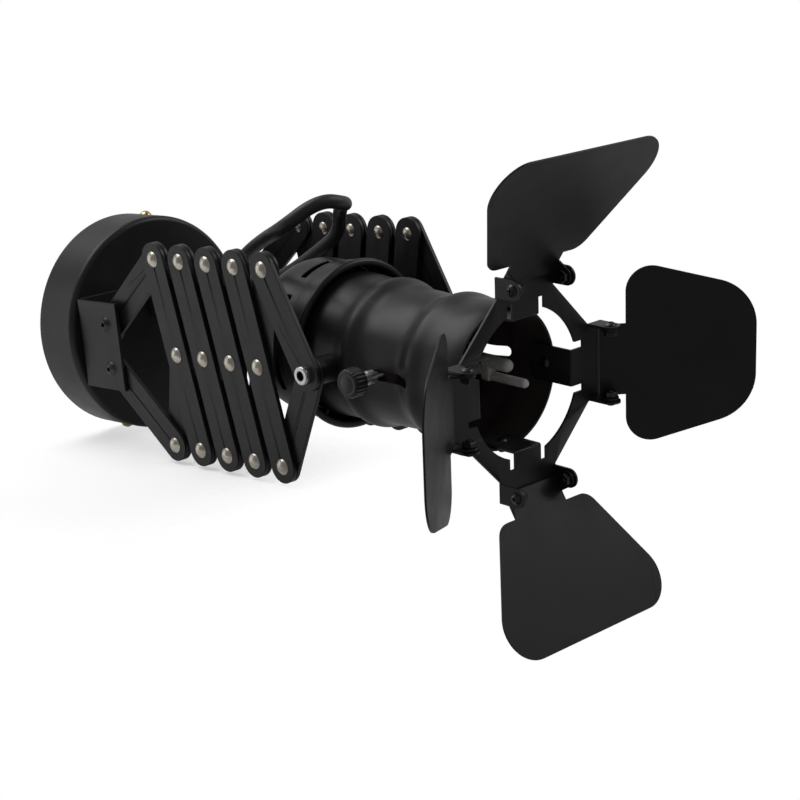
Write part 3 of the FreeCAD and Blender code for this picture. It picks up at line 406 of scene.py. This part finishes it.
def route_line(points):
    """Points along the smooth NURBS line of a route."""
    data = bpy.data.curves.new("route", "CURVE")
    data.dimensions = "3D"
    data.resolution_u = 12
    spline = data.splines.new("NURBS")
    spline.points.add(len(points) - 1)
    for point, place in zip(spline.points, points):
        point.co = (*place, 1)
    spline.order_u = 3
    spline.use_endpoint_u = True
    curve = bpy.data.objects.new("route", data)
    bpy.context.scene.collection.objects.link(curve)
    bpy.context.view_layer.update()
    mesh = bpy.data.meshes.new_from_object(curve)
    line = [v.co.copy() for v in mesh.vertices]
    bpy.data.objects.remove(curve)
    bpy.data.meshes.remove(mesh)
    return line


def rings_along(line, radius, sides):
    """Rings of points round a line, turned as little as possible from one to the next."""
    across = Vector((0, 0, 1))
    rings = []
    for i, here in enumerate(line):
        ahead = (line[min(i + 1, len(line) - 1)] - line[max(i - 1, 0)]).normalized()
        across = (across - ahead * across.dot(ahead)).normalized()
        beside = ahead.cross(across)
        turns = [2 * math.pi * k / sides for k in range(sides)]
        rings.append([here + (across * math.cos(t) + beside * math.sin(t)) * radius for t in turns])
    return rings


def tube_of(name, rings, material):
    """Open tube through rings of points."""
    mesh = bmesh.new()
    rows = [[mesh.verts.new(point) for point in ring] for ring in rings]
    for low, high in zip(rows, rows[1:]):
        for k in range(len(low)):
            n = (k + 1) % len(low)
            mesh.faces.new((low[k], low[n], high[n], high[k]))
    return finished(name, mesh, material, 50)


def add_flex():
    """The flex in two lengths that meet at the top of its loop: one runs along the arms, the other to the
    head.
    """
    line = route_line(FLEX_ROUTE)
    top = min(range(len(line)), key=lambda i: (line[i] - LOOP_TOP).length)
    rising, falling = line[: top + 1], line[top:]
    rings = rings_along(line, FLEX_DIAMETER / 2, FLEX_SIDES)
    first = tube_of("flex_to_loop", rings[: top + 1], MATERIALS["sheath"])
    second = tube_of("flex_to_head", rings[top:], MATERIALS["sheath"])
    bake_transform(first)
    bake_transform(second)
    for tube, part in ((first, rising), (second, falling)):
        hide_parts("flex")


# ---------------------------------------------------------------- pieces in place of plain CAD nodes


def finished(name, mesh, material, sharp_degrees=35):
    """Object made of a bmesh, smooth shaded but for its sharp edges."""
    bmesh.ops.recalc_face_normals(mesh, faces=mesh.faces)
    data = bpy.data.meshes.new(name)
    mesh.to_mesh(data)
    mesh.free()
    data.shade_smooth()
    data.set_sharp_from_angle(angle=math.radians(sharp_degrees))
    data.materials.append(material)
    piece = bpy.data.objects.new(name, data)
    bpy.context.scene.collection.objects.link(piece)
    return piece


def turned(mesh, profile, place, segments=48, shape=None, ends=(True, True)):
    """Adds a turned part to a bmesh: (x, radius) points spun about X, then placed.

    shape gives the radius at a turn for parts that aren't round, and ends says which ends are closed.
    """
    rings = []
    for x, radius in profile:
        ring = []
        for k in range(segments):
            t = 2 * math.pi * k / segments
            r = radius if shape is None else shape(x, radius, t)
            ring.append(mesh.verts.new(place @ Vector((x, r * math.cos(t), r * math.sin(t)))))
        rings.append(ring)
    for low, high in zip(rings, rings[1:]):
        for k in range(segments):
            n = (k + 1) % segments
            mesh.faces.new((low[k], high[k], high[n], low[n]))
    if ends[0]:
        mesh.faces.new(rings[0])
    if ends[1]:
        mesh.faces.new(rings[-1][::-1])


def hexagon(_, radius, t):
    """Radius of a hexagon, given that of its corners, at a turn."""
    half = math.pi / 6
    return radius * math.cos(half) / math.cos((t % (2 * half)) - half)


def along_y(x, y, z, side):
    """Placement that lays a turned part along Y, pointing outwards on that side."""
    return Matrix(((0, 0, 1, x), (side, 0, 0, side * y), (0, side, 0, z), (0, 0, 0, 1)))


def arc_profile(height, radius, steps=10):
    """Domed head's profile from its rim to near its middle, standing on x = 0."""
    sphere = (radius**2 + height**2) / (2 * height)
    points = []
    for k in range(steps + 1):
        r = radius * math.cos(math.pi / 2 * k / steps)
        points.append((height - sphere + math.sqrt(sphere**2 - r**2), max(r, radius * 0.02)))
    return points


PIVOT_FORWARD = 4.0
AXIS_ABOVE_PIVOT = 1.2


def head_placement():
    """From the head's own frame, in millimetres, to the row frame."""
    pivot = Vector(JOINTS["head_tilt"]["pos_m"])
    axis = Vector(JOINTS["lamp_focus_slide"]["axis"])
    droop = math.atan2(-axis.z, axis.x)
    offset = Matrix.Translation((-PIVOT_FORWARD, 0, AXIS_ABOVE_PIVOT))
    return Matrix.Translation(pivot) @ Matrix.Rotation(droop, 4, "Y") @ Matrix.Scale(MM, 4) @ offset


ROW = Matrix.Scale(MM, 4)
HEAD = head_placement()


def body_name(node):
    """Name of the body that a CAD node rides on."""
    parent = frame["nodes"][node].parent
    return next(name for name, empty in frame["bodies"].items() if empty == parent)


def stand_in(piece, node):
    """Makes a piece stand for a CAD node."""
    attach(piece, body_name(node))
    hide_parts(node)


def darken(piece, material, inside):
    """Gives a second material to the faces whose centre passes a test."""
    piece.data.materials.append(material)
    for face in piece.data.polygons:
        if inside(face):
            face.material_index = 1


RIVET_R = 1.8
RIVET_HEAD_R = 4.3
RIVET_HEAD_H = 1.9
RIVET_TAIL_R = 3.4
RIVET_TAIL_H = 1.3
RIVET_TAIL_FACE = 47.5
RIVET_NODES = ["rivets_base", "rivets_head"]
RIVET_NODES += [f"{row}_{i}" for row in ("rivets", "middle_rivets") for i in (1, 2, 3, 4)]


def rivet_places(node):
    """(x, z) of a node's rivets, in millimetres, from its box."""
    low, high = (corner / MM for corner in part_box(node))
    top = (low.x + RIVET_HEAD_R, high.z - RIVET_HEAD_R)
    bottom = (high.x - RIVET_HEAD_R, low.z + RIVET_HEAD_R)
    return [top] if (Vector(top) - Vector(bottom)).length < 0.5 else [top, bottom]


def add_rivets(node):
    """Domed rivets: a low flat rim, a dome with a small flat at its middle, and a smaller tail."""
    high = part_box(node)[1] / MM
    head_face = high.y - RIVET_HEAD_H
    tail = [(RIVET_TAIL_FACE - x, r) for x, r in arc_profile(RIVET_TAIL_H, RIVET_TAIL_R)][::-1]
    head = [(head_face + x, r) for x, r in arc_profile(RIVET_HEAD_H, RIVET_HEAD_R - 0.15, 14)]
    shank = [(RIVET_TAIL_FACE, RIVET_R), (head_face, RIVET_R)]
    profile = tail + shank + [(head_face, RIVET_HEAD_R - 0.15)] + head
    mesh = bmesh.new()
    for x, z in rivet_places(node):
        for side in SIDES.values():
            turned(mesh, profile, ROW @ along_y(x, 0, z, side), 40)
    stand_in(finished("visual_" + node, mesh, MATERIALS["nickel"], 50), node)


def recessed_head(base, radius, height, recess_r, depth):
    """Profile of a domed head with a recess: rim, dome, recess wall and recess floor."""
    rim = [(base + x, r) for x, r in arc_profile(height, radius, 14) if r > recess_r]
    sphere = (radius**2 + height**2) / (2 * height)
    lip = base + height - sphere + math.sqrt(sphere**2 - recess_r**2)
    floor = base + height - depth
    wall = [(lip, recess_r), (lip - 0.12, recess_r * 0.96), (floor, recess_r * 0.9)]
    return rim + wall + [(floor, recess_r * 0.05)]


def hex_recess(corner_r):
    """Turns the recess of a head into a hexagon."""

    def shape(x, radius, t):
        return radius if radius > corner_r + 0.01 else hexagon(x, radius, t)

    return shape


def cross_recess(reach):
    """Turns the recess of a head into a cross."""

    def shape(_, radius, t):
        if radius > reach + 0.01:
            return radius
        return radius * (0.38 + 0.62 * abs(math.cos(2 * t)) ** 1.6)

    return shape


BASE_PIVOT_X = 55.7
BASE_PIVOT_Z = 12.25
CHEEK_OUTER = 54.65


def add_bracket_pivot_screws():
    """Four button heads with hexagon sockets on the bracket's cheeks."""
    profile = [(43.9, 2.0), (CHEEK_OUTER, 2.0), (CHEEK_OUTER, 4.0)]
    profile += recessed_head(CHEEK_OUTER, 4.0, 2.1, 1.45, 1.5)
    mesh = bmesh.new()
    for z, inner in ((BASE_PIVOT_Z, 44.05), (-BASE_PIVOT_Z, 46.55)):
        for side in SIDES.values():
            own = [(inner, 2.0)] + profile[1:]
            turned(mesh, own, ROW @ along_y(BASE_PIVOT_X, 0, z, side), 48, hex_recess(1.45))
    piece = finished("visual_bracket_pivot_screws", mesh, MATERIALS["black_screws_and_socket_shade"], 30)
    stand_in(piece, "bracket_pivot_screws")


def add_pivot_bolts():
    """Two socket heads on which the head tilts. Their hexagon sockets get blackened steel as painted shade,
    though the bolts are bright steel.
    """
    low, high = (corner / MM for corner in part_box("pivot_bolts"))
    x, z = (low.x + high.x) / 2, (low.z + high.z) / 2
    top = high.y
    seat = top - 3.4
    head = [(seat, 2.5), (seat, 4.7), (top - 0.8, 4.7), (top - 0.5, 4.63), (top - 0.23, 4.47)]
    head += [(top - 0.06, 4.2)]
    head += [(top, 3.9), (top, 2.6), (top - 0.3, 2.31), (top - 2.2, 2.31), (top - 2.4, 0.2)]
    mesh = bmesh.new()
    for side in SIDES.values():
        turned(mesh, [(38.5, 2.5)] + head, ROW @ along_y(x, 0, z, side), 48, hex_recess(2.31))
    piece = finished("visual_pivot_bolts", mesh, MATERIALS["bright_steel"], 30)
    centre = Vector((x, 0, z)) * MM

    def in_socket(face):
        reach = math.hypot(face.center.x - centre.x, face.center.z - centre.z)
        return reach < 2.45 * MM and abs(face.center.y) > (seat + 0.5) * MM

    # Painted shade: the faces deep in the sockets take the blackened steel in place of the bolts' bright
    # steel.
    darken(piece, MATERIALS["black_screws_and_socket_shade"], in_socket)
    stand_in(piece, "pivot_bolts")


HINGE_X = 109.3
HINGE_RADIUS = 49.5
FRAME_EAR_HALF = 19.2
HINGE_NUT_START = 13.8


def add_hinge_screws():
    """Eight pan-head screws with cross recesses on the leaves' hinges, and their nuts."""
    head = [(FRAME_EAR_HALF, 1.5), (FRAME_EAR_HALF, 3.0), (FRAME_EAR_HALF + 0.25, 3.0)]
    head += recessed_head(FRAME_EAR_HALF + 0.25, 2.95, 1.5, 1.35, 1.2)
    shank = [(13.1, 1.4), (13.4, 1.5)]
    nut = [(HINGE_NUT_START, 1.6), (HINGE_NUT_START, 3.0), (HINGE_NUT_START + 0.2, 3.17)]
    nut += [(HINGE_NUT_START + 2.2, 3.17), (HINGE_NUT_START + 2.4, 3.0), (HINGE_NUT_START + 2.4, 1.6)]
    nut.append(nut[0])
    mesh = bmesh.new()
    for k in range(4):
        about = HEAD @ Matrix.Rotation(math.radians(90 * k), 4, "X")
        for side in SIDES.values():
            place = about @ along_y(HINGE_X, 0, HINGE_RADIUS, side)
            turned(mesh, shank + head, place, 48, cross_recess(1.35))
            turned(mesh, nut, place, 48, hexagon, ends=(False, False))
    piece = finished("visual_hinge_screws", mesh, MATERIALS["black_screws_and_socket_shade"], 30)
    stand_in(piece, "hinge_screws")


TONGUE_SCREW_X = 83.2


def add_frame_screws():
    """Four screws through the frame's tongues, with their heads inside the mouth."""
    head = [(-36.8, 1.5), (-33.8, 1.5), (-33.8, 2.2), (-32.5, 2.2), (-32.5, 1.5)]
    head += [(-31.3, 1.5), (-31.3, 2.8)]
    head += recessed_head(-31.3, 2.8, 1.6, 1.25, 1.2)
    mesh = bmesh.new()
    for k in range(4):
        down = Matrix(((0, 0, 1, TONGUE_SCREW_X), (0, 1, 0, 0), (-1, 0, 0, 0), (0, 0, 0, 1)))
        place = HEAD @ Matrix.Rotation(math.radians(90 * k), 4, "X") @ down
        turned(mesh, head, place, 48, cross_recess(1.25))
    piece = finished("visual_barn_frame_screws", mesh, MATERIALS["black_screws_and_socket_shade"], 30)
    stand_in(piece, "barn_frame_screws")


FOCUS_X = 34.6
KNOB_R = 7.2
KNOB_RIBS = 24


def add_thumb_screw():
    """Bright stepped neck and a ribbed black knob with a shallow domed face."""
    place = HEAD @ along_y(FOCUS_X, 0, 0, -1)
    neck = [(25.5, 1.7), (25.9, 2.0), (37.2, 2.0), (37.2, 3.4), (40.4, 3.4), (40.6, 2.9)]
    neck += [(42.0, 2.9), (42.2, 3.4), (45.6, 3.4)]
    mesh = bmesh.new()
    turned(mesh, neck, place, 40)
    shank = finished("thumb_screw_neck", mesh, MATERIALS["zinc"], 30)

    def ribbed(x, radius, t):
        deep = max(0.0, 1 - abs(x - 49.8) / 4.2) ** 0.35 if radius > 6.2 else 0.0
        return radius - 0.42 * deep * (0.5 - 0.5 * math.cos(KNOB_RIBS * t)) ** 0.6

    rim = [(45.5, 5.2), (45.65, 5.9), (46.1, 6.6), (46.8, 7.05), (47.6, KNOB_R), (52.2, KNOB_R)]
    rim += [(53.0, 7.05), (53.6, 6.6)]
    face = [(53.85, 5.9), (53.9, 5.2), (53.75, 4.6), (53.8, 4.2), (54.1, 3.2), (54.35, 1.8), (54.45, 0.1)]
    mesh = bmesh.new()
    turned(mesh, rim + face, place, 8 * KNOB_RIBS, ribbed)
    knob = finished("thumb_screw_knob", mesh, MATERIALS["knob"], 40)
    for piece in (shank, knob):
        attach(piece, body_name("thumb_screw"))
    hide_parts("thumb_screw")


CAP_R = 40.2
CAP_WALL = 1.1
RING_X = -14.0
RING_R = 41.5
RING_T = 2.0
VENTS = 8
VENT_ROW = (-34.0, -30.0)
VENT_ARC = 28
FIRST_VENT_TURN = 59.5
CAP_DOME = [(-41.0, 40.2), (-45.2, 39.65), (-49.0, 38.5), (-52.5, 36.8), (-55.6, 34.3), (-58.2, 31.2)]
CAP_DOME += [(-60.2, 27.4), (-61.4, 23.2), (-61.9, 19.0), (-62.0, 13.0), (-62.0, 6.1)]


def smoothed(outline, steps):
    """Points on a Catmull-Rom curve through an outline's points."""
    points = []
    ends = [outline[0]] + outline + [outline[-1]]
    for before, start, end, after in zip(ends, ends[1:], ends[2:], ends[3:]):
        for k in range(steps):
            t = k / steps
            point = []
            for p, q, r, s in zip(before, start, end, after):
                square, cube = 2 * p - 5 * q + 4 * r - s, 3 * q - p - 3 * r + s
                point.append(0.5 * (2 * q + (r - p) * t + square * t**2 + cube * t**3))
            points.append(tuple(point))
    return points + [outline[-1]]


def cap_profile():
    """The rear cap's outside from its rolled ring to its gland hole."""
    turns = [math.radians(15 * k) for k in range(-6, 13)]
    ring = [(RING_X + RING_T * math.cos(t), RING_R + RING_T * math.sin(t)) for t in turns]
    band = [(-16.4, 41.65), (-17.5, 41.6), (-23.6, 41.6), (-24.1, 41.5), (-24.7, 40.6)]
    band += [(-25.2, 40.25), (-25.8, CAP_R)]
    front, back = VENT_ROW[1], VENT_ROW[0]
    vents = [(x, CAP_R) for x in (front + 0.1, front, back, back - 0.1)]
    return ring + band + vents + smoothed(CAP_DOME, 4)


def add_rear_cap():
    """Pressed cap with long vents, one skin thickened inwards."""
    profile = cap_profile()
    mesh = bmesh.new()
    columns = 360
    step = 360 / columns
    rings = []
    for x, r in profile:
        turns = [math.radians((k + 0.5) * step) for k in range(columns)]
        rings.append([mesh.verts.new(HEAD @ Vector((x, -r * math.cos(t), r * math.sin(t)))) for t in turns])
    for (x0, _), (x1, _), low, high in zip(profile, profile[1:], rings, rings[1:]):
        vented = x0 <= VENT_ROW[1] and x1 >= VENT_ROW[0]
        for k in range(columns):
            turn = (k + 1) * step - (90 - FIRST_VENT_TURN)
            if vented and (turn + VENT_ARC / 2) % (360 / VENTS) < VENT_ARC:
                continue
            n = (k + 1) % columns
            mesh.faces.new((low[k], high[k], high[n], low[n]))
    piece = finished("visual_rear_cap", mesh, MATERIALS["paint"], 40)
    skin = piece.modifiers.new("skin", "SOLIDIFY")
    skin.thickness = CAP_WALL * MM
    skin.offset = -1
    stand_in(piece, "rear_cap")


SHEET_NODES = ["arm_bracket", "barn_frame", "leaf_top", "leaf_left", "leaf_bottom", "leaf_right"]


def soften_edges():
    """Small rounded edges on the pressed plates."""
    plates = SHEET_NODES + [n for n in frame["nodes"] if "link" in n]
    for node in plates:
        obj = frame["nodes"][node]
        weld = obj.modifiers.new("weld", "WELD")
        weld.merge_threshold = 0.002 * MM
        bevel = obj.modifiers.new("edge", "BEVEL")
        bevel.width = 0.22 * MM
        bevel.segments = 2
        bevel.limit_method = "ANGLE"
        bevel.angle_limit = math.radians(50)
        bevel.use_clamp_overlap = True


def paint_inside():
    """Gives the barrel's inner faces the darker, warmer paint of its inside."""
    barrel = frame["nodes"]["barrel"]
    barrel.data.materials.append(MATERIALS["inside"])
    back = HEAD.inverted()
    for face in barrel.data.polygons:
        middle = back @ face.center
        normal = back.to_3x3() @ face.normal
        if middle.y * normal.y + middle.z * normal.z < 0:
            face.material_index = len(barrel.data.materials) - 1


paint_cad_nodes()
frame["nodes"]["lamp_carrier"].material_slots[0].material = MATERIALS["inside"]
paint_inside()
soften_edges()
add_flex()
for rivet_node in RIVET_NODES:
    add_rivets(rivet_node)
add_bracket_pivot_screws()
add_pivot_bolts()
add_hinge_screws()
add_frame_screws()
add_thumb_screw()
add_rear_cap()
add_camera()
add_lights()
add_floor()
